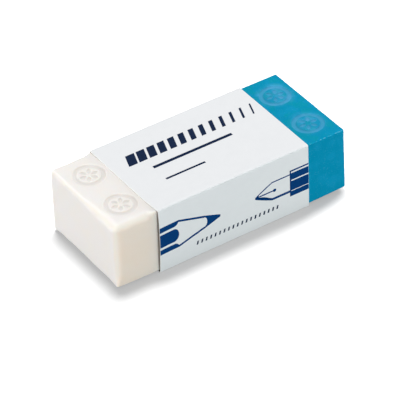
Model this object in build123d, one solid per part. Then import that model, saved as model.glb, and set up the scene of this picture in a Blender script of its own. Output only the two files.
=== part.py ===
from build123d import *
import os

# Two-compound rubber eraser in a folded card sleeve, in millimetres.
# +X runs from the white end to the blue end and +Z is up. The origin lies on the underside of the
# sleeve, below the middle of the whole part.

# Rubber block: a soft white compound for pencil, bonded to a hard blue one for ink
white_length = 28.4
blue_length = 15.1
block_width = 18.92
block_height = 11.72
white_corner_radius = 1.3  # upright edges of the white end, rubbed round
white_top_radius = 1.0
white_bottom_radius = 0.15
blue_corner_radius = 0.3
blue_edge_radius = 0.2  # the hard compound keeps crisp edges

# Rosettes moulded into the top of each end, measured on their floors
rosette_diameter = 5.2
rosette_pitch = 9.2  # between the two across the width
white_rosette_shift = 0.5  # from the middle of the bare white rubber towards the sleeve
rosette_depth = 0.2
rim_width = 0.55
petal_count = 6
petal_root = 0.5  # from the rosette's centre to the start of a petal
petal_tip = 1.6
petal_width = 0.55
wall_draft = 35.0  # degrees, so that the mould lets go

# Card sleeve: one strip folded round the block, its ends lapped and glued underneath
card_thickness = 0.15
fold_inner_radius = 0.1
sleeve_length = 28.7
white_exposed = 7.65  # bare rubber between the white end and the sleeve
slide_clearance = 0.05  # between card and rubber, on every side
lap_edge_inset = 1.2  # from the back to the free edge of the outer lap
flap_end_gap = 0.6  # inner lap stops this far from the front panel

cut_overrun = 0.1

# Worked out from the sizes above
block_length = white_length + blue_length
cavity_width = block_width + 2 * slide_clearance
cavity_height = block_height + 2 * slide_clearance
sleeve_width = cavity_width + 2 * card_thickness
sleeve_height = cavity_height + 3 * card_thickness  # the underside is two cards thick
fold_outer_radius = fold_inner_radius + card_thickness

white_end = -block_length / 2
blue_end = block_length / 2
bond = white_end + white_length
sleeve_start = white_end + white_exposed
sleeve_end = sleeve_start + sleeve_length
cavity_bottom = 2 * card_thickness
block_bottom = cavity_bottom + slide_clearance
block_top = block_bottom + block_height


def block_between(start, end):
    """A plain length of the block, from start to end along X."""
    place = Pos((start + end) / 2, 0, (block_bottom + block_top) / 2)
    return place * Box(end - start, block_width, block_height)


def round_end(block, outward, corner_radius, top_radius, bottom_radius):
    """Rounds the two upright edges at the outward end, then the rims of the top and bottom faces,
    which run on along the block and stop square at the bond."""
    block = fillet(block.edges().filter_by(Axis.Z).sort_by(outward)[-2:], corner_radius)
    for facing, radius in ((Axis.Z, top_radius), (-Axis.Z, bottom_radius)):
        rim = block.faces().sort_by(facing)[-1].edges().sort_by(outward)[1:]  # all but the bond's edge
        block = fillet(rim, radius)
    return block


def rosette():
    """The floor of one rosette: a round rim with petals inside it."""
    rim = Circle(rosette_diameter / 2) - Circle(rosette_diameter / 2 - rim_width)
    side = SagittaArc((petal_root, 0), (petal_tip, 0), petal_width / 2)
    petal = make_face(side + mirror(side, Plane.XZ))
    return rim + PolarLocations(0, petal_count) * petal


def press_rosettes(block, middle):
    """Presses two rosettes, side by side, into the top at that place along X."""
    floor = Pos(middle, 0, block_top - rosette_depth)
    stamp = extrude(rosette(), rosette_depth + cut_overrun, taper=-wall_draft)
    return block - floor * GridLocations(0, rosette_pitch, 1, 2) * stamp


def white_eraser():
    block = block_between(white_end, bond)
    block = round_end(block, -Axis.X, white_corner_radius, white_top_radius, white_bottom_radius)
    return press_rosettes(block, (white_end + sleeve_start) / 2 + white_rosette_shift)


def blue_eraser():
    block = block_between(bond, blue_end)
    block = round_end(block, Axis.X, blue_corner_radius, blue_edge_radius, blue_edge_radius)
    return press_rosettes(block, (sleeve_end + blue_end) / 2)


def sleeve_section():
    """The folded strip seen along X. It runs from the inner lap under the block to the back, up, over
    the top and down the front, then turns in below the inner lap as the outer lap."""
    inner_turn = Pos(0, (sleeve_height + card_thickness) / 2) * RectangleRounded(
        sleeve_width, sleeve_height - card_thickness, fold_outer_radius
    )
    outer_turn = Pos(0, sleeve_height / 2) * RectangleRounded(
        sleeve_width, sleeve_height, fold_outer_radius
    )
    before_lap_edge = Pos(-lap_edge_inset, sleeve_height / 2) * Rectangle(sleeve_width, sleeve_height)
    cavity = Pos(0, cavity_bottom + cavity_height / 2) * RectangleRounded(
        cavity_width, cavity_height, fold_inner_radius
    )
    flap_end = Pos((flap_end_gap - cavity_width) / 2, cavity_bottom - card_thickness / 2) * Rectangle(
        flap_end_gap, card_thickness
    )
    return inner_turn + (outer_turn & before_lap_edge) - cavity - flap_end


def card_sleeve():
    return extrude(Plane.YZ.offset(sleeve_start) * sleeve_section(), sleeve_length)


os.makedirs("parts", exist_ok=True)
for make_piece in (white_eraser, blue_eraser, card_sleeve):
    export_step(make_piece(), f"parts/{make_piece.__name__}.step")
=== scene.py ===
import math

import bmesh
import bpy
import numpy as np
from mathutils import Matrix, Vector, noise


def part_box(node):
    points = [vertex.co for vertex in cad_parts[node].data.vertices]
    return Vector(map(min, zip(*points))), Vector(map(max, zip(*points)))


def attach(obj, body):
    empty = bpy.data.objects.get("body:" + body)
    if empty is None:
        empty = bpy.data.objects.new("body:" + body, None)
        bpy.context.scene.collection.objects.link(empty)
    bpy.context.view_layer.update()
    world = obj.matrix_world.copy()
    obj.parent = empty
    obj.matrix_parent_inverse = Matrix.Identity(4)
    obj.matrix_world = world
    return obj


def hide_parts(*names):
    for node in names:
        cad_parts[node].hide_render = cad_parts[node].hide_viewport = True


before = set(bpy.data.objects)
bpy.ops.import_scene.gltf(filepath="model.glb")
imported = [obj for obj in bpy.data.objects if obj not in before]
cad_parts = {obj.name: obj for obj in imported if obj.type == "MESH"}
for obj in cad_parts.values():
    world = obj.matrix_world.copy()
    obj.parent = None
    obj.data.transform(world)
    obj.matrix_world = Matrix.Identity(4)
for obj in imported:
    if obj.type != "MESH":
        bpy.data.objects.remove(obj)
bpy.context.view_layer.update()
mm = 0.001

whiteLow, whiteHigh = (np.array(corner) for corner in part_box("white_eraser"))
blueLow, blueHigh = (np.array(corner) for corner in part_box("blue_eraser"))
sleeveLow, sleeveHigh = (np.array(corner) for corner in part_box("card_sleeve"))
print("frame loaded")


# Shader maths

class Wire:  # one socket, and the Math nodes that Python's operators add to it
    def __init__(self, finish, socket):
        self.finish, self.socket = finish, socket

    def maths(self, operation, first, second=0.0):
        return self.finish.add("Math", {"operation": operation}, {0: first, 1: second})

    def __add__(self, other):
        return self.maths("ADD", self, other)

    def __radd__(self, other):
        return self.maths("ADD", other, self)

    def __sub__(self, other):
        return self.maths("SUBTRACT", self, other)

    def __rsub__(self, other):
        return self.maths("SUBTRACT", other, self)

    def __mul__(self, other):
        return self.maths("MULTIPLY", self, other)

    def __rmul__(self, other):
        return self.maths("MULTIPLY", other, self)

    def __abs__(self):
        return self.maths("ABSOLUTE", self)


class Finish:  # the nodes of one material or world
    def __init__(self, owner):
        self.owner = owner
        owner.use_nodes = True
        self.tree = owner.node_tree
        self.tree.nodes.clear()

    def add(self, kind, settings=None, sockets=None, out=0):
        node = self.tree.nodes.new("ShaderNode" + kind)
        for key, value in (settings or {}).items():
            setattr(node, key, value)
        for key, value in (sockets or {}).items():
            if isinstance(value, Wire):
                self.tree.links.new(value.socket, node.inputs[key])
            else:
                node.inputs[key].default_value = value
        return Wire(self, node.outputs[out]) if len(node.outputs) else None

    def blend(self, share, first, second):  # two colours
        first, second = (c if isinstance(c, Wire) else (*c, 1) for c in (first, second))
        return self.add("Mix", {"data_type": "RGBA"}, {0: share, 6: first, 7: second}, out=2)

    def ramp(self, value, low, high):  # 0 at low, 1 at high, eased between
        return self.add("MapRange", {"interpolation_type": "SMOOTHSTEP"},
                        {"Value": value, "From Min": low, "From Max": high})

    def grain(self, size, detail, stretch=(1, 1, 1)):  # noise with lumps of about that size
        place = self.add("TexCoord", out="Object")
        place = self.add("Mapping", {}, {"Vector": place, "Scale": stretch})
        return self.add("TexNoise", {}, {"Vector": place, "Scale": 1 / size, "Detail": detail})

    def bump(self, height, depth, normal=None):
        sockets = {"Height": height, "Strength": 1.0, "Distance": depth}
        if normal:
            sockets["Normal"] = normal
        return self.add("Bump", {}, sockets)

    def stored(self, name):  # a value kept with each point of the mesh
        return self.add("Attribute", {"attribute_name": name}, out="Fac")

    def facing(self, axis):  # how far the surface faces along X, Y or Z
        normal = self.add("TexCoord", out="Normal")
        return self.add("SeparateXYZ", {}, {0: normal}, out=axis)

    def close(self, shader):
        kind = "OutputWorld" if isinstance(self.owner, bpy.types.World) else "OutputMaterial"
        self.add(kind, {}, {"Surface": shader})
        return self.owner


def seenDirectly(finish):  # 1 for a camera, glossy or clear ray, 0 for scattered light
    camera, glossy, clear = (finish.add("LightPath", out=ray) for ray in (
        "Is Camera Ray", "Is Glossy Ray", "Is Transmission Ray"))
    return camera + glossy + clear


# Finishes: a grain is the size of its lumps and its detail, a range is where a ramp starts and ends

whiteFinish = {
    "rubber": (0.905, 0.87, 0.845),
    "cream": (0.92, 0.875, 0.81),  # thicker drifts of the compound
    "creamShare": 0.5,
    "sideShade": (0.92, 0.775, 0.655),  # the long sides, a painted warm shade
    "sideShadeShare": 0.85,  # outside the drifts
    "rubbed": (0.85, 0.808, 0.728),  # the rounded edges, a painted darker cream shade that holds back the light they catch
    "rubbedShare": 0.8,
    # painted shade beside the sleeve and in the moulding, and dust round the moulding
    "shadeAndGrime": (0.74, 0.70, 0.66),
    "mouthShade": 0.58,  # painted shade beside the sleeve's mouth, with some grime
    "reliefShade": 0.22,  # painted shade in the moulding, with some dirt
    "dustGrime": 0.1,  # and round it
    "cloudGrain": (3.5 * mm, 3),
    "cloudRange": (0.4, 0.7),
    "sideRange": (0.3, 0.85),
    "edgeRange": (0.1, 0.9),
    "fineGrain": (0.22 * mm, 2),
    "fineDepth": 0.005 * mm,
    "lumpGrain": (0.9 * mm, 2),
    "lumpDepth": 0.012 * mm,
    "roughness": 0.62,
    "roughnessDrift": 0.1,
    "scatter": 0.15,
    "scatterReach": (1.0, 0.6, 0.4),  # red, green and blue, in millimetres
    "ior": 1.45,
    "specular": 0.2,
}


def whiteRubber():
    s = whiteFinish
    finish = Finish(bpy.data.materials.new("white rubber"))
    cloud = finish.ramp(finish.grain(*s["cloudGrain"]), *s["cloudRange"])
    sides = finish.ramp(abs(finish.facing("Y")), *s["sideRange"])
    # painted warm shade on the faces that look sideways
    sideShade = sides * (s["sideShadeShare"] + cloud * (1 - s["sideShadeShare"]))
    # painted shade on the rounded edges
    rubbed = finish.ramp(finish.stored("edge"), *s["edgeRange"]) * s["rubbedShare"]
    # painted shade beside the sleeve and in the moulding, with some grime, and dust round the moulding
    shadeAndGrime = finish.stored("mouth") * s["mouthShade"] + finish.stored("relief") * s["reliefShade"]
    shadeAndGrime = shadeAndGrime + finish.stored("dust") * s["dustGrime"]
    colour = finish.blend(cloud * s["creamShare"], s["rubber"], s["cream"])
    colour = finish.blend(sideShade, colour, s["sideShade"])
    colour = finish.blend(rubbed, colour, s["rubbed"])
    colour = finish.blend(shadeAndGrime, colour, s["shadeAndGrime"])
    lumps = finish.bump(finish.grain(*s["lumpGrain"]), s["lumpDepth"])
    return finish.close(finish.add("BsdfPrincipled", {}, {
        "Base Color": colour,
        "Roughness": s["roughness"] + (cloud - 0.5) * s["roughnessDrift"],
        "Normal": finish.bump(finish.grain(*s["fineGrain"]), s["fineDepth"], lumps),
        "Subsurface Weight": s["scatter"], "Subsurface Radius": s["scatterReach"], "Subsurface Scale": mm,
        "IOR": s["ior"], "Specular IOR Level": s["specular"]}))


blueFinish = {
    "rubber": (0.0, 0.284, 0.483),
    "pale": (0.005, 0.32, 0.555),  # drifts with more filler
    "paleShare": 0.6,
    "drift": (0.0, 0.305, 0.425),  # patches on top, dulled by handling
    "driftShare": 0.7,
    "bloom": (0.085, 0.40, 0.66),  # paler, in and around the pressed marks
    "reliefBloom": 0.6,  # in the moulding, outside the drifts
    "dustBloom": 0.1,  # and around it
    "cloudBloom": 0.4,  # how much more there is in the drifts
    "speck": (0.12, 0.50, 0.72),
    "speckShare": 0.4,
    "chipGlint": (0.22, 0.60, 0.78),  # crumbled edges, with a painted highlight along them
    "chipGlintShare": 0.9,
    "cloudGrain": (2.2 * mm, 4),
    "cloudRange": (0.42, 0.68),
    "driftGrain": (1.4 * mm, 4),
    "driftRange": (0.44, 0.6),
    "topRange": (0.5, 0.9),
    "gritGrain": (0.14 * mm, 2),
    "gritDepth": 0.012 * mm,
    "speckRange": (0.64, 0.72),
    "crumbGrain": (0.42 * mm, 2),
    "crumbRange": (0.45, 0.6),
    "edgeRange": (0.3, 0.9),
    "roughness": 0.58,
    "gritRoughness": 0.15,
    "ior": 1.45,
    "specular": 0.04,
}


def blueRubber():
    s = blueFinish
    finish = Finish(bpy.data.materials.new("blue rubber"))
    cloud = finish.ramp(finish.grain(*s["cloudGrain"]), *s["cloudRange"])
    grit = finish.grain(*s["gritGrain"])
    top = finish.ramp(finish.facing("Z"), *s["topRange"])
    drift = finish.ramp(finish.grain(*s["driftGrain"]), *s["driftRange"])
    dust = finish.stored("dust") * (s["dustBloom"] + cloud * s["cloudBloom"])
    relief = finish.stored("relief") * (s["reliefBloom"] + cloud * s["cloudBloom"])
    crumbs = finish.ramp(finish.grain(*s["crumbGrain"]), *s["crumbRange"])
    # painted highlight along the edges, broken up where they crumble
    chipGlints = finish.ramp(finish.stored("edge"), *s["edgeRange"]) * crumbs
    colour = finish.blend(cloud * s["paleShare"], s["rubber"], s["pale"])
    colour = finish.blend(top * drift * s["driftShare"], colour, s["drift"])
    colour = finish.blend(dust, colour, s["bloom"])
    colour = finish.blend(relief, colour, s["bloom"])
    colour = finish.blend(finish.ramp(grit, *s["speckRange"]) * s["speckShare"], colour, s["speck"])
    colour = finish.blend(chipGlints * s["chipGlintShare"], colour, s["chipGlint"])
    return finish.close(finish.add("BsdfPrincipled", {}, {
        "Base Color": colour,
        "Roughness": s["roughness"] + grit * s["gritRoughness"],
        "Normal": finish.bump(grit, s["gritDepth"]),
        "IOR": s["ior"], "Specular IOR Level": s["specular"]}))


cardFinish = {
    "coat": (0.832, 0.838, 0.852),
    "shade": (0.80, 0.808, 0.823),
    "shadeShare": 0.35,
    "foldShade": (0.765, 0.772, 0.785),  # painted shade on the folds, holding back the light their rounding catches
    "mottleGrain": (1.6 * mm, 4),
    "mottleRange": (0.35, 0.7),
    "fibreGrain": (0.35 * mm, 3),
    "fibreStretch": (0.35, 1, 1),
    "fibreDepth": 0.0015 * mm,
    "roughness": 0.36,
    "fibreRoughness": 0.12,
    "ior": 1.45,
    "specular": 0.25,
}


def coatedCard():
    s = cardFinish
    finish = Finish(bpy.data.materials.new("coated card"))
    mottle = finish.ramp(finish.grain(*s["mottleGrain"]), *s["mottleRange"])
    fibre = finish.grain(*s["fibreGrain"], s["fibreStretch"])
    colour = finish.blend(mottle * s["shadeShare"], s["coat"], s["shade"])
    return finish.close(finish.add("BsdfPrincipled", {}, {
        # painted shade on the folds
        "Base Color": finish.blend(finish.stored("foldShade"), colour, s["foldShade"]),
        "Roughness": s["roughness"] + fibre * s["fibreRoughness"],
        "Normal": finish.bump(fibre, s["fibreDepth"]),
        "IOR": s["ior"], "Specular IOR Level": s["specular"]}))


boardFinish = {
    "cut": (0.84, 0.83, 0.80),  # the cut edges
    "inside": (0.11, 0.09, 0.07),  # the uncoated inner side, painted near black as shade for the gaps beside it
    "palest": 1.15,  # how much lighter single fibres are
    "fibreGrain": (0.175 * mm, 3),
    "fibreStretch": (0.35, 1, 1),
    "fibreDepth": 0.02 * mm,
    "roughness": 0.9,
    "specular": 0.2,
}


def rawCard(side):
    s = boardFinish
    finish = Finish(bpy.data.materials.new(side + " of the card"))
    fibre = finish.grain(*s["fibreGrain"], s["fibreStretch"])
    pale = tuple(s["palest"] * c for c in s[side])
    return finish.close(finish.add("BsdfPrincipled", {}, {
        "Base Color": finish.blend(fibre, s[side], pale), "Roughness": s["roughness"],
        "Normal": finish.bump(fibre, s["fibreDepth"]), "Specular IOR Level": s["specular"]}))


inkFinish = {
    "navy": ((0.001, 0.042, 0.172), (0.003, 0.052, 0.192)),  # full and thinly laid
    "dark": ((0.008, 0.019, 0.055), (0.012, 0.025, 0.07)),
    "thinShare": 0.6,
    "mottleGrain": (0.5 * mm, 4),
    "mottleRange": (0.4, 0.75),
    "roughness": 0.4,
    "mottleRoughness": 0.08,
    "specular": 0.02,
}


def printInk(shade):
    s = inkFinish
    finish = Finish(bpy.data.materials.new(shade + " ink"))
    mottle = finish.ramp(finish.grain(*s["mottleGrain"]), *s["mottleRange"])
    return finish.close(finish.add("BsdfPrincipled", {}, {
        "Base Color": finish.blend(mottle * s["thinShare"], *s[shade]),
        "Roughness": s["roughness"] + mottle * s["mottleRoughness"], "Specular IOR Level": s["specular"]}))


finishes = {
    "white": whiteRubber(),
    "blue": blueRubber(),
    "card": coatedCard(),
    "cut": rawCard("cut"),
    # the inner side, painted near black as shade in the gaps
    "inside": rawCard("inside"),
    "navy": printInk("navy"),
    "dark": printInk("dark"),
}
print("finishes made")


# Meshes

def addPiece(name, points, faces, body, slot, *materials):
    mesh = bpy.data.meshes.new(name)
    mesh.from_pydata([tuple(p) for p in points], [], faces)
    for material in materials:
        mesh.materials.append(material)
    mesh.shade_smooth()
    piece = bpy.data.objects.new(name, mesh)
    bpy.context.scene.collection.objects.link(piece)
    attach(piece, body)
    return piece


def store(piece, name, values):  # one number with each point, for the finish
    layer = piece.data.attributes.new(name, "FLOAT", "POINT")
    layer.data.foreach_set("value", np.asarray(values, np.float32))


def stations(*marks):  # from the first mark to the last; a mark is a place and the step that follows it
    lines = []
    for (start, step), following in zip(marks, marks[1:]):
        count = max(1, round((following[0] - start) / step))
        lines.extend(np.linspace(start, following[0], count, endpoint=False))
    return [*lines, marks[-1][0]]


def between(first, second, share):
    return first + (second - first) * share


def eased(share):
    share = np.clip(share, 0, 1)
    return share * share * (3 - 2 * share)


def noiseAt(points, size, shift=0.0):
    return np.array([noise.noise(Vector(p) / size + Vector((shift, 0, 0))) for p in points])


def gridBox(lines):  # the six sides of a box, divided at those stations along X, Y and Z
    index, points, faces = {}, [], []
    for axis in range(3):
        second, third = (axis + 1) % 3, (axis + 2) % 3
        for side in (0, len(lines[axis]) - 1):
            for m in range(len(lines[second]) - 1):
                for n in range(len(lines[third]) - 1):
                    ring = []
                    for stepM, stepN in ((0, 0), (1, 0), (1, 1), (0, 1)):
                        place = [0, 0, 0]
                        place[axis], place[second], place[third] = side, m + stepM, n + stepN
                        key = tuple(place)
                        if key not in index:
                            index[key] = len(points)
                            points.append([lines[a][place[a]] for a in range(3)])
                        ring.append(index[key])
                    faces.append(ring if side else ring[::-1])
    return np.array(points), faces


# Rubber block

rosette = {
    "radius": 2.6 * mm,
    "rimWidth": 0.55 * mm,
    "petals": 6,
    "root": 0.5 * mm,  # from the centre to the start of a petal
    "tip": 1.6 * mm,
    "petalWidth": 0.55 * mm,
    "pitch": 9.2 * mm,
    "depth": 0.2 * mm,
    "slope": 0.17 * mm,  # how far the soft walls lean out
    "dustReach": 1.0 * mm,
    "flatFrom": 0.9,  # only where the face looks up by more than this
}


def rosetteShare(across, along):  # 1 on the pressed floor, 0 on the face round it
    s = rosette
    apart, turn = np.hypot(across, along), np.arctan2(along, across)
    step = 2 * math.pi / s["petals"]
    turn = (turn + step / 2) % step - step / 2  # from the nearest petal
    petalMiddle, petalHalf = (s["root"] + s["tip"]) / 2, (s["tip"] - s["root"]) / 2
    width = s["petalWidth"] / 2 * (1 - ((apart * np.cos(turn) - petalMiddle) / petalHalf) ** 2)
    insidePetal = width - np.abs(apart * np.sin(turn))
    insideRim = s["rimWidth"] / 2 - np.abs(apart - s["radius"] + s["rimWidth"] / 2)
    return eased(np.maximum(insidePetal, insideRim) / s["slope"] + 1)


def pressRosettes(points, flat, middle):  # two, side by side; returns how deep and how dusty each point is
    relief, dust = np.zeros(len(points)), np.zeros(len(points))
    for side in (-1, 1):
        across, along = points[:, 0] - middle, points[:, 1] - side * rosette["pitch"] / 2
        relief += rosetteShare(across, along)
        beyond = np.hypot(across, along) - rosette["radius"]
        dust = np.maximum(dust, eased(1 - beyond / rosette["dustReach"]))
    relief, dust = relief * flat, dust * flat
    points[:, 2] -= rosette["depth"] * relief
    return relief, dust


gridSteps = {"bare": 0.12 * mm, "across": 0.132 * mm, "hidden": 0.5 * mm}  # away from the rounded edges
waveShift, chipShift = 7.3, 3.1  # where in the noise the waves and chips are taken


def blockLines(low, high, s):  # close together at the rounded edges, wide apart inside the sleeve
    hidden = gridSteps["hidden"]
    if s["freeEnd"] < 0:
        along = ((low[0], s["endStep"]), (low[0] + s["endZone"], gridSteps["bare"]),
                 (sleeveLow[0] + hidden, hidden), (high[0], 0))
    else:
        along = ((low[0], hidden), (sleeveHigh[0] - hidden, gridSteps["bare"]),
                 (high[0] - s["endZone"], s["endStep"]), (high[0], 0))
    across = ((low[1], s["sideStep"]), (low[1] + s["sideZone"], gridSteps["across"]),
              (high[1] - s["sideZone"], s["sideStep"]), (high[1], 0))
    upward = ((low[2], s["footStep"]), (low[2] + s["footZone"], hidden),
              (high[2] - s["topZone"], s["topStep"]), (high[2], 0))
    return [stations(*marks) for marks in (along, across, upward)]


def edgeRounds(points, low, high, s, bare, fromEnd, forward, rise):  # at the low and the high sides
    rub = 1 + s["rubShare"] * noiseAt(points, s["rubSize"])
    free = eased(bare / s["bareReach"])
    held = between(s["backHeldRound"], s["heldRound"], forward)
    sideRound = between(held, between(s["backRound"], s["frontRound"], forward), free)
    topRound = between(held, between(s["topRound"], s["frontTopRound"], forward), free)
    fromSide = np.minimum(points[:, 1] - low[1], high[1] - points[:, 1])
    corner = eased(1 - fromEnd / s["bottomFade"]) * eased(1 - fromSide / s["bottomFade"])
    bottom = between(s["bottomRound"], s["endBottomRound"], eased(1 - fromEnd / s["endReach"]))
    bottom = between(bottom, s["cornerBottomRound"], corner)
    foot = between(bottom, s["footRound"], corner)
    side = between(foot, sideRound, rise) * rub
    roundLow = np.stack([side * (s["freeEnd"] < 0), side, bottom * rub], 1)
    roundHigh = np.stack([side * (s["freeEnd"] > 0), side, topRound * rub], 1)
    return roundLow, roundHigh


def rubberBlock(name, low, high, s):
    points, faces = gridBox(blockLines(low, high, s))
    freeEnd = s["freeEnd"]
    end, mouth = (low[0], sleeveLow[0]) if freeEnd < 0 else (high[0], sleeveHigh[0])
    bare = (points[:, 0] - mouth) * freeEnd  # how far outside the sleeve
    fromEnd = (end - points[:, 0]) * freeEnd
    forward = eased((s["forwardStart"] - points[:, 1]) / s["forwardReach"])
    rise = eased((points[:, 2] - low[2]) / s["bottomFade"])

    # Each point near an edge goes out from the core of the block along a unit vector
    roundLow, roundHigh = edgeRounds(points, low, high, s, bare, fromEnd, forward, rise)
    core = np.clip(points, low + roundLow, high - roundHigh)
    out = points - core
    reach = np.where(out < 0, roundLow, roundHigh)
    unit = np.divide(out, reach, out=np.zeros_like(out), where=reach > 0)
    unit /= np.maximum(np.linalg.norm(unit, axis=1, keepdims=True), 1e-9)
    swell = s["waveHeight"] * noiseAt(points, s["waveSize"], waveShift)
    swell += s["chipHeight"] * noiseAt(points, s["chipSize"], chipShift)
    points = core + unit * (reach + swell[:, None])
    middle = (mouth + end) / 2 - freeEnd * s["rosetteShift"]
    relief, dust = pressRosettes(points, unit[:, 2] > rosette["flatFrom"], middle)

    # The end leans, and its underside rises
    down = np.clip((high[2] - points[:, 2]) / (high[2] - low[2]), 0, 1)
    back = np.clip((points[:, 1] - low[1]) / (high[1] - low[1]), 0, 1)
    outer = np.clip(1 - fromEnd / s["leanReach"], 0, 1)
    points[:, 0] += freeEnd * outer * (s["endLean"] * down - s["endSkew"] * back)
    points[:, 2] += s["endLift"] * outer * down

    piece = addPiece(name, points, faces, "block", s["slot"], s["finish"])
    square = np.abs(unit).max(1)  # 1 on a face, least at the middle of a round
    edge = np.where(square > 0, (1 - square) / (1 - math.sqrt(0.5)), 0)
    # painted shade beside the sleeve's mouth, with some grime: dense near it and a veil beyond
    farShade, nearShade = (np.exp(-np.abs(bare) / s[key]) for key in ("farShade", "nearShade"))
    shadeAndGrime = between(farShade, nearShade, s["nearShare"]) * (1 + s["frontShade"] * forward)
    store(piece, "relief", relief)
    store(piece, "dust", dust)
    store(piece, "edge", np.clip(edge, 0, 1) * rise)
    store(piece, "mouth", shadeAndGrime * eased(1 + bare / s["underSleeve"]))
    return piece


whiteBlock = {
    "freeEnd": -1,  # which way along X
    "frontRound": 1.5 * mm,
    "backRound": 0.65 * mm,
    "topRound": 0.95 * mm,
    "frontTopRound": 1.4 * mm,
    "bottomRound": 0.15 * mm,
    "endBottomRound": 0.75 * mm,
    "cornerBottomRound": 0.3 * mm,
    "endReach": 1.5 * mm,
    "footRound": 0.45 * mm,  # at the lower ends of the upright edges
    "heldRound": 0.25 * mm,  # inside the sleeve
    "backHeldRound": 0.2 * mm,
    "forwardStart": 2.0 * mm,  # in Y, where the edges start to grow rounder towards the front
    "forwardReach": 9.0 * mm,
    "bareReach": 1.5 * mm,  # all edges reach their round this far out of the sleeve
    "bottomFade": 3.0 * mm,  # over this height the upright edges grow to their full round
    "rosetteShift": 0.5 * mm,  # towards the sleeve
    "endLean": 0.0,  # how far the end leans out at its foot
    "endSkew": 0.0,  # how far it falls back towards the plain side
    "endLift": 0.0,  # how far the underside rises to the end
    "leanReach": 5.0 * mm,
    "nearShade": 0.9 * mm,  # how far the dense band of painted shade and grime reaches from the sleeve
    "farShade": 4.0 * mm,  # and the veil beyond it
    "nearShare": 0.6,
    "frontShade": 0.3,  # how much darker it is at the front
    "underSleeve": 1.0 * mm,  # how far it runs in under the card
    "rubShare": 0.2,  # how unevenly the edges are rubbed
    "rubSize": 2.5 * mm,
    "waveHeight": 0.035 * mm,
    "waveSize": 5.0 * mm,
    "chipHeight": 0.006 * mm,
    "chipSize": 0.7 * mm,
    "endZone": 1.2 * mm,  # the mesh is finer this near to the end
    "endStep": 0.1 * mm,
    "sideZone": 1.04 * mm,
    "sideStep": 0.1 * mm,
    "footZone": 0.6 * mm,
    "footStep": 0.07 * mm,
    "topZone": 1.1 * mm,
    "topStep": 0.09 * mm,
    "slot": "white_rubber",
    "finish": finishes["white"],
}
blueBlock = {
    "freeEnd": 1,
    "frontRound": 0.25 * mm,
    "backRound": 0.25 * mm,
    "topRound": 0.2 * mm,
    "frontTopRound": 0.2 * mm,
    "bottomRound": 0.2 * mm,
    "endBottomRound": 0.2 * mm,
    "cornerBottomRound": 0.2 * mm,
    "endReach": 1.5 * mm,
    "footRound": 0.25 * mm,
    "heldRound": 0.2 * mm,
    "backHeldRound": 0.2 * mm,
    "forwardStart": 2.0 * mm,
    "forwardReach": 9.0 * mm,
    "bareReach": 2.2 * mm,
    "bottomFade": 3.0 * mm,
    "rosetteShift": 0.0,
    "endLean": 0.18 * mm,
    "endSkew": 0.1 * mm,
    "endLift": 0.2 * mm,
    "leanReach": 7.0 * mm,
    "nearShade": 0.9 * mm,
    "farShade": 4.0 * mm,
    "nearShare": 0.6,
    "frontShade": 0.0,
    "underSleeve": 0.4 * mm,
    "rubShare": 0.3,
    "rubSize": 0.5 * mm,
    "waveHeight": 0.015 * mm,
    "waveSize": 6.0 * mm,
    "chipHeight": 0.012 * mm,
    "chipSize": 0.3 * mm,
    "endZone": 0.6 * mm,
    "endStep": 0.06 * mm,
    "sideZone": 0.585 * mm,
    "sideStep": 0.05625 * mm,
    "footZone": 0.5 * mm,
    "footStep": 0.07 * mm,
    "topZone": 0.5 * mm,
    "topStep": 0.05 * mm,
    "slot": "blue_rubber",
    "finish": finishes["blue"],
}

white = rubberBlock("white_block", whiteLow, whiteHigh, whiteBlock)
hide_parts("white_eraser")
blue = rubberBlock("blue_block", blueLow, blueHigh, blueBlock)
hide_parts("blue_eraser")
print("rubber block made")


# Card sleeve

card = {
    "thickness": 0.15 * mm,
    "foldRadius": 0.1 * mm,  # inside a fold
    "lapInset": 1.2 * mm,  # from the back to the free edge of the outer lap
    "flapGap": 0.6 * mm,  # from the front panel to the end of the inner lap
    "glue": 0.01 * mm,
    "panelStep": 0.6 * mm,
    "leastSteps": 4,  # across a panel
    "foldSteps": 8,
    "endZone": 3.0 * mm,  # the mesh is finer this near to a cut end
    "endStep": 0.25 * mm,
    "alongStep": 0.8 * mm,
    "sharpAngle": math.radians(40),
    "endReach": 3.5 * mm,  # how far in from a cut end its spring dies away
    "flare": 0.14 * mm,  # how far the front stands off at the white end
    "flareReach": 9.0 * mm,
    "trim": 0.26 * mm,  # the front is cut back this much at the top of the white end
    "footTrim": 0.12 * mm,  # and this much at its foot
    "trimReach": 3.0 * mm,
    "trimPower": 4,  # how fast the cut falls back towards the front
    # how far each panel springs out: along its middle, and at the white and the blue end
    "bows": {"front": (0.02 * mm, 0.22 * mm, 0.02 * mm), "top": (0.01 * mm, -0.03 * mm, 0.0),
             "back": (0.02 * mm, 0.0, 0.03 * mm)},
}
foldReach = card["foldRadius"] + card["thickness"]  # from a panel's end to the outer corner of its fold
panelEnds = {  # where the flat part of a panel starts and ends, in Z or Y
    "front": (sleeveLow[2] + foldReach, sleeveHigh[2] - foldReach),
    "top": (sleeveLow[1] + foldReach, sleeveHigh[1] - foldReach),
}


def bowOf(panel, x, share):  # outward, from the flat panel; share runs from 0 to 1 between its folds
    if panel not in card["bows"]:
        return 0.0
    middle, whiteEnd, blueEnd = card["bows"][panel]
    spring = middle + whiteEnd * math.exp((sleeveLow[0] - x) / card["endReach"])
    spring += blueEnd * math.exp((x - sleeveHigh[0]) / card["endReach"])
    share = min(max(share, 0), 1)
    return spring * (1 - (2 * share - 1) ** 2)


def frontShare(y):  # 1 on the front panel, 0 from the middle of the sleeve to the back
    return min(max(y / sleeveLow[1], 0), 1)


def flared(x, y):  # the front half of the sleeve spreads towards the white end
    return y - card["flare"] * math.exp((sleeveLow[0] - x) / card["flareReach"]) * frontShare(y)


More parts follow.
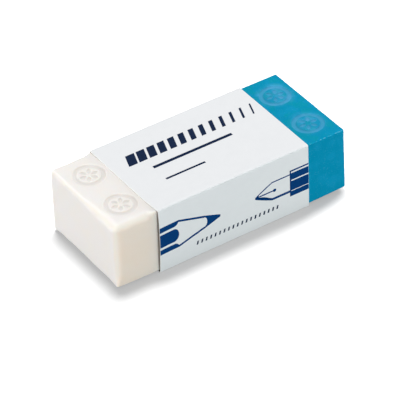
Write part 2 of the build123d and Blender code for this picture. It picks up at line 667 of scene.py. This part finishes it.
def trimmed(x, y, z):  # a cut that isn't quite square
    rise = (z - sleeveLow[2]) / (sleeveHigh[2] - sleeveLow[2])
    cut = between(card["footTrim"], card["trim"], rise) * frontShare(y) ** card["trimPower"]
    return x + cut * math.exp((sleeveLow[0] - x) / card["trimReach"])


def foldedStrip():  # along the middle of the card: place, outward normal, panel and share along it
    half = card["thickness"] / 2
    turn = card["foldRadius"] + half
    lapBase = sleeveLow[2] + half
    flapBase = lapBase + card["thickness"] + card["glue"]
    front, back, top = sleeveLow[1] + half, sleeveHigh[1] - half, sleeveHigh[2] - half
    lapEnd, flapEnd = sleeveHigh[1] - card["lapInset"], front + half + card["flapGap"]
    corners = [np.array(corner) for corner in (
        (lapEnd, lapBase), (front, lapBase), (front, top),
        (back, top), (back, flapBase), (flapEnd, flapBase))]
    panels = ("lap", "front", "top", "back", "flap")
    strip = []
    for number, panel in enumerate(panels):
        start, end = corners[number], corners[number + 1]
        way = (end - start) / np.linalg.norm(end - start)
        start = start + way * turn * (number > 0)
        end = end - way * turn * (number < len(panels) - 1)
        out = np.array((-way[1], way[0]))
        count = max(card["leastSteps"], round(np.linalg.norm(end - start) / card["panelStep"]))
        for share in np.linspace(0, 1, count + 1):
            strip.append((start + (end - start) * share, out, panel, share))
        if number < len(panels) - 1:
            after = corners[number + 2] - corners[number + 1]
            after = after / np.linalg.norm(after)
            middle = end + after * turn
            for k in range(1, card["foldSteps"]):
                angle = k / card["foldSteps"] * math.pi / 2
                lean = way * math.sin(angle) - after * math.cos(angle)
                strip.append((middle + lean * turn, lean, "fold", 0))
    return strip


def cardSleeve():
    strip = foldedStrip()
    along = stations((sleeveLow[0], card["endStep"]), (sleeveLow[0] + card["endZone"], card["alongStep"]),
                     (sleeveHigh[0] - card["endZone"], card["endStep"]), (sleeveHigh[0], 0))
    points, foldShade = [], []
    for x in along:
        for place, out, panel, share in strip:
            middle = place + out * bowOf(panel, x, share)
            for side in (1, -1):
                y, z = middle + out * side * card["thickness"] / 2
                points.append((trimmed(x, y, z), flared(x, y), z))
                foldShade.append(panel == "fold")

    def at(i, k, inner):
        return (i * len(strip) + k) * 2 + inner

    coat, cut, inside = range(3)  # the finishes, in the order that addPiece gets them
    lastAlong, lastAcross = len(along) - 1, len(strip) - 1
    faces, sides = [], []
    for i in range(lastAlong):
        for k in range(lastAcross):
            faces.append([at(i, k, 0), at(i + 1, k, 0), at(i + 1, k + 1, 0), at(i, k + 1, 0)])
            faces.append([at(i, k, 1), at(i, k + 1, 1), at(i + 1, k + 1, 1), at(i + 1, k, 1)])
            sides += [coat, inside]
        faces.append([at(i, 0, 0), at(i, 0, 1), at(i + 1, 0, 1), at(i + 1, 0, 0)])
        faces.append([at(i, lastAcross, 0), at(i + 1, lastAcross, 0), at(i + 1, lastAcross, 1),
                      at(i, lastAcross, 1)])
        sides += [cut, cut]
    for k in range(lastAcross):
        faces.append([at(0, k, 0), at(0, k + 1, 0), at(0, k + 1, 1), at(0, k, 1)])
        faces.append([at(lastAlong, k, 0), at(lastAlong, k, 1), at(lastAlong, k + 1, 1),
                      at(lastAlong, k + 1, 0)])
        sides += [cut, cut]
    piece = addPiece("sleeve_card", points, faces, "sleeve", "sleeve_card", finishes["card"], finishes["cut"],
                     finishes["inside"])
    piece.data.polygons.foreach_set("material_index", sides)
    piece.data.set_sharp_from_angle(angle=card["sharpAngle"])
    # marks the folds for their painted shade
    store(piece, "foldShade", foldShade)
    return piece


sleeve = cardSleeve()
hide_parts("card_sleeve")
print("sleeve folded")


# Print

ink = {
    "height": 0.008 * mm,
    "sunk": 0.006 * mm,  # what soaks in, so that no light shows under the ink
    "step": 0.7 * mm,  # a plate is divided this finely, to follow the bow of its panel
    "sharpAngle": math.radians(40),
}


def onFront(u, v, height):
    low, high = panelEnds["front"]
    y = sleeveLow[1] - bowOf("front", u, (v - low) / (high - low)) - height
    return trimmed(u, y, v), flared(u, y), v


def onTop(u, v, height):
    low, high = panelEnds["top"]
    z = sleeveHigh[2] + bowOf("top", u, (v - low) / (high - low)) + height
    return trimmed(u, v, z), flared(u, v), z


def inkPlates(name, outlines, lay, finish):  # thin closed plates, one for each outline
    points, faces = [], []
    for outline in outlines:
        sheet = bmesh.new()
        whole = sheet.faces.new([sheet.verts.new((u, v, 0)) for u, v in outline])
        whole.normal_update()
        if whole.normal.z < 0:
            whole.normal_flip()
        corners = np.array(outline)
        for axis in (0, 1):
            way = Vector((1 - axis, axis, 0))
            for cut in np.arange(corners[:, axis].min() + ink["step"], corners[:, axis].max(), ink["step"]):
                bmesh.ops.bisect_plane(sheet, geom=[*sheet.verts, *sheet.edges, *sheet.faces], dist=1e-9,
                                       plane_co=way * cut, plane_no=way)
        bmesh.ops.triangulate(sheet, faces=sheet.faces[:])
        sheet.verts.index_update()
        first, count = len(points), len(sheet.verts)
        for height in (ink["height"], -ink["sunk"]):
            points += [lay(v.co.x, v.co.y, height) for v in sheet.verts]
        for face in sheet.faces:
            ring = [first + v.index for v in face.verts]
            faces.append(ring)
            faces.append([r + count for r in ring[::-1]])
        for edge in sheet.edges:
            if edge.is_boundary:
                loop = edge.link_loops[0]
                a, b = first + loop.vert.index, first + loop.link_loop_next.vert.index
                faces.append([a, a + count, b + count, b])
        sheet.free()
    piece = addPiece(name, points, faces, "sleeve", "sleeve_card", finish)
    piece.data.set_sharp_from_angle(angle=ink["sharpAngle"])
    return piece


def arc(middle, radii, start, end, steps=14):  # points of a round or oval stretch, angles in degrees
    angles = np.radians(np.linspace(start, end, steps + 1))
    return [(middle[0] + radii[0] * math.cos(a), middle[1] + radii[1] * math.sin(a)) for a in angles]


def disc(middle, radius, steps=20):
    return arc(middle, (radius, radius), 0, 360, steps)[:-1]


def bar(u0, u1, v0, v1, lean=0.0):  # a plain bar, its top moved along by lean
    return [(u0, v0), (u1, v0), (u1 + lean, v1), (u0 + lean, v1)]


def stroke(line, width):  # the outline of a line of that width
    line = [np.array(p) for p in line]
    left, right = [], []
    for k, p in enumerate(line):
        way = line[min(k + 1, len(line) - 1)] - line[max(k - 1, 0)]
        way = way / np.linalg.norm(way)
        side = np.array((-way[1], way[0])) * width / 2
        left.append(tuple(p + side))
        right.append(tuple(p - side))
    return right + left[::-1]


pencil = {
    "start": sleeveLow[0] + 0.005 * mm,
    "shoulder": -10.3 * mm,
    "tip": -2.4 * mm,
    "axis": 6.23 * mm,
    "tipRise": -0.1 * mm,
    "half": 2.64 * mm,
    "stripe": 0.45 * mm,  # the bare stripe between two bands of paint
    "bandHalf": 1.23 * mm,  # the middle band
    "bulge": 1.0 * mm,  # how far the paint runs on at the middle of a band
    "bulgeSteps": 8,
    "line": 0.38 * mm,
    "tipHalf": 0.21 * mm,
    "lead": 3.0 * mm,
    "hollow": 0.5 * mm,  # how far the wood runs into the lead
}


def pencilPrint():
    s = pencil
    axis, half, band, line = s["axis"], s["half"], s["bandHalf"], s["line"]
    base = s["shoulder"] - s["bulge"]
    inner = band + s["stripe"]
    tip = np.array((s["tip"], axis + s["tipRise"]))
    paintEnd = arc((base, axis), (s["bulge"], band), -90, 90)
    shapes = [[(s["start"], axis - band), *paintEnd, (s["start"], axis + band)]]
    leadEdge = []
    for side in (1, -1):
        radii = (s["bulge"], side * (inner - half))
        paintEnd = arc((base, axis + side * half), radii, 90, 0, s["bulgeSteps"])
        shapes.append([(s["start"], axis + side * inner), *paintEnd, (s["start"], axis + side * half)])
        shoulder = np.array((s["shoulder"], axis + side * (half - line / 2)))
        corner = tip + (0, side * s["tipHalf"])
        lead = corner + (shoulder - corner) * s["lead"] / (s["tip"] - s["shoulder"])
        shapes.append(stroke([shoulder - (2 * line, 0), shoulder, lead], line))
        leadEdge.append(lead + (0, side * line / 2))
    upper, lower = leadEdge
    middle, rise = (upper[1] + lower[1]) / 2, (upper[1] - lower[1]) / 2 - line
    hollow = arc((upper[0], middle), (s["hollow"], rise), 90, -90)
    blunt = [tuple(tip + (0, side * s["tipHalf"])) for side in (-1, 1)]
    shapes.append([*blunt, tuple(upper), *hollow, tuple(lower)])
    return shapes


nib = {
    "tip": 4.3 * mm,
    "shoulder": 7.55 * mm,
    "collar": 10.95 * mm,
    "end": sleeveHigh[0] - 0.03 * mm,
    "axis": 6.31 * mm,
    "half": 1.85 * mm,
    "fineLine": 0.25 * mm,
    "boldLine": 0.5 * mm,
    "outlineShare": 0.9,  # of those widths
    "curveSteps": 8,
    "curvePower": 0.9,  # the sides of the point are straight at 1 and fuller below it
    "shade": 0.4 * mm,  # at its widest, along the lower edge of the point
    "blackShare": 0.2,  # of the point, from its tip
    "blackHalfShares": (0.25, 0.2),  # of the nib's half width, below and above the axis
    "overrun": 0.1 * mm,
    "slitStart": 5.0 * mm,
    "hole": 8.0 * mm,
    "holeRadius": 0.31 * mm,
    "collarTop": 8.81 * mm,
    "collarLine": 0.27 * mm,
    "collarBands": (  # down from the top
        (0.0, 0.3 * mm), (0.6 * mm, 1.92 * mm), (2.16 * mm, 4.02 * mm), (4.16 * mm, 5.15 * mm)),
}


def nibPrint():
    s = nib
    axis, half, span = s["axis"], s["half"], s["shoulder"] - s["tip"]
    shares = [k / s["curveSteps"] for k in range(s["curveSteps"] + 1)]
    shapes = []
    for side, width in ((1, s["fineLine"]), (-1, s["boldLine"])):
        rise = half - width / 2
        curve = [(s["tip"] + span * share, axis + side * rise * share ** s["curvePower"]) for share in shares]
        outline = [*curve, (s["collar"], axis + side * rise)]
        shapes.append(stroke(outline, width * s["outlineShare"]))
    # the last curve is the lower one, and carries the shade
    shade = [(u, v + s["shade"] * 4 * share * (1 - share)) for share, (u, v) in zip(shares, curve)]
    shapes.append([*curve, *shade[-2:0:-1]])
    black = s["tip"] + span * s["blackShare"]
    below, above = s["blackHalfShares"]
    shapes.append([(s["tip"] - s["overrun"], axis), (black, axis - half * below),
                   (black, axis + half * above)])
    shapes.append(stroke([(s["slitStart"], axis), (s["hole"], axis)], s["fineLine"]))
    shapes.append(disc((s["hole"], axis), s["holeRadius"]))
    for upper, lower in s["collarBands"]:
        shapes.append(bar(s["collar"], s["end"], s["collarTop"] - lower, s["collarTop"] - upper))
    shapes.append(bar(s["collar"], s["collar"] + s["collarLine"], s["collarTop"] - lower, s["collarTop"]))
    return shapes


hatch = {  # slanted bars that thin out along the top
    "start": -11.35 * mm,
    "end": 13.55 * mm,
    "low": 2.3 * mm,
    "high": 4.95 * mm,
    "lean": 0.9 * mm,
    "bars": 13,
    "widths": (1.65 * mm, 0.3 * mm),
}


def hatchPrint():
    s = hatch
    wide, thin = s["widths"]
    pitch = (s["end"] - s["start"] - s["lean"]) / (s["bars"] - 1 + thin / wide)
    shapes = []
    for k in range(s["bars"]):
        start = s["start"] + pitch * k
        width = between(wide, thin, k / (s["bars"] - 1))
        shapes.append(bar(start, start + width, s["low"], s["high"], s["lean"]))
    return shapes


rules = {  # two plain lines on the top
    "start": -8.35 * mm,
    "lines": ((6.55 * mm, -0.35 * mm, 0.25 * mm), (-0.95 * mm, -3.85 * mm, -3.45 * mm)),  # end, low and high
}


def rulePrint():
    return [bar(rules["start"], *line) for line in rules["lines"]]


ticks = {  # a row of small marks along the foot of the front
    "start": -7.05 * mm,
    "end": 8.55 * mm,
    "low": 2.35 * mm,
    "high": 3.05 * mm,
    "width": 0.3 * mm,
    "count": 19,
    "lean": 0.16 * mm,
}


def tickPrint():
    s = ticks
    places = np.linspace(s["start"], s["end"] - s["width"], s["count"])
    return [bar(u, u + s["width"], s["low"], s["high"], s["lean"]) for u in places]


inkPlates("pencil_print", pencilPrint(), onFront, finishes["navy"])
inkPlates("nib_print", nibPrint(), onFront, finishes["navy"])
inkPlates("tick_print", tickPrint(), onFront, finishes["dark"])
inkPlates("hatch_print", hatchPrint(), onTop, finishes["dark"])
inkPlates("rule_print", rulePrint(), onTop, finishes["dark"])
print("sleeve printed")


# Floor, light and camera

stageSettings = {
    "floorSize": 3.0,
    "floorDrop": 0.01 * mm,
    "floorSeen": 0.22,  # its colour to the camera
    "floorGlow": 0.4,  # what it adds there, so that shadows stay pale
    "floorScatter": 0.04,  # its colour to scattered light
    "ambient": (0.97, 0.99, 1.0),
    "ambientStrength": 0.38,
    "lampAim": (0, 0, 6 * mm),
}


def floorFinish():
    s = stageSettings
    finish = Finish(bpy.data.materials.new("pale floor"))
    level = s["floorScatter"] + seenDirectly(finish) * (s["floorSeen"] - s["floorScatter"])
    colour = finish.add("CombineColor", {}, {0: level, 1: level, 2: level})
    lit = finish.add("BsdfDiffuse", {}, {"Color": colour})
    glow = finish.add("Emission", {}, {"Strength": seenDirectly(finish) * s["floorGlow"]})
    return finish.close(finish.add("AddShader", {}, {0: lit, 1: glow}))


def whiteWorld():
    s = stageSettings
    world = bpy.data.worlds.new("white studio")
    finish = Finish(world)
    soft = finish.add("Background", {}, {"Color": (*s["ambient"], 1), "Strength": s["ambientStrength"]})
    plain = finish.add("Background", {}, {"Color": (1, 1, 1, 1), "Strength": 1.0})
    finish.close(finish.add("MixShader", {}, {0: seenDirectly(finish), 1: soft, 2: plain}))
    bpy.context.scene.world = world


def addFloor():
    half = stageSettings["floorSize"] / 2
    corners = [(-half, -half, 0), (half, -half, 0), (half, half, 0), (-half, half, 0)]
    mesh = bpy.data.meshes.new("floor")
    mesh.from_pydata(corners, [], [[0, 1, 2, 3]])
    mesh.materials.append(floorFinish())
    floor = bpy.data.objects.new("floor", mesh)
    floor.location.z = -stageSettings["floorDrop"]
    bpy.context.scene.collection.objects.link(floor)
    return floor


def addLamp(name, place, size, power, colour):
    light = bpy.data.lights.new(name, "AREA")
    light.shape, light.energy, light.color = "ELLIPSE", power, colour
    light.size, light.size_y = size
    lamp = bpy.data.objects.new(name, light)
    lamp.location = place
    aim = Vector(stageSettings["lampAim"]) - Vector(place)
    lamp.rotation_euler = aim.to_track_quat("-Z", "Y").to_euler()
    lamp.visible_camera = False
    bpy.context.scene.collection.objects.link(lamp)
    return lamp


lamps = {  # place, width and height, power and colour
    "overhead": ((0.1, 0.14, 0.6), (0.15, 0.15), 2.15, (1, 1, 1)),
    "floorLight": ((0.045, 0.118, 0.6), (0.15, 0.15), 8.5, (1, 1, 1)),
    "cornerLight": ((0.4, 0.2, 0.3), (0.3, 0.3), 9.0, (1, 1, 1)),
    "leftFill": ((-0.6, 0.06, 0.06), (0.3, 0.1), 2.2, (1, 1, 1)),
    "frontFill": ((0.1, -0.6, 0.06), (0.5, 0.1), 2.12, (0.915, 1, 1)),
}
floorLamps = ("floorLight", "cornerLight")  # these light nothing but the floor


def addLamps(floor):
    floorAlone = bpy.data.collections.new("floor alone")
    floorAlone.objects.link(floor)
    for name, settings in lamps.items():
        lamp = addLamp(name, *settings)
        if name in floorLamps:
            lamp.light_linking.receiver_collection = floorAlone


cameraSettings = {
    "azimuth": -32.355,  # degrees, as are the next two
    "elevation": 37.942,
    "roll": -2.334,
    "aim": (-1.0 * mm, -1.73 * mm, 3.46 * mm),
    "distance": 535.4 * mm,
    "lens": 302.5,
    "sensor": 36.0,
}


def addCamera():
    s = cameraSettings
    azimuth, elevation, roll = (math.radians(s[key]) for key in ("azimuth", "elevation", "roll"))
    flat = math.cos(elevation)
    back = Vector((math.sin(azimuth) * flat, -math.cos(azimuth) * flat, math.sin(elevation)))
    level = Vector((0, 0, 1)).cross(back).normalized()
    upright = back.cross(level)
    right = level * math.cos(roll) + upright * math.sin(roll)
    up = upright * math.cos(roll) - level * math.sin(roll)
    lens = bpy.data.cameras.new("camera")
    lens.lens, lens.sensor_width = s["lens"], s["sensor"]
    camera = bpy.data.objects.new("camera", lens)
    place = Matrix.Translation(Vector(s["aim"]) + back * s["distance"])
    camera.matrix_world = place @ Matrix((right, up, back)).transposed().to_4x4()
    bpy.context.scene.collection.objects.link(camera)
    bpy.context.scene.camera = camera


addLamps(addFloor())
whiteWorld()
addCamera()
bpy.context.scene.view_settings.view_transform = "Standard"
print("stage set")
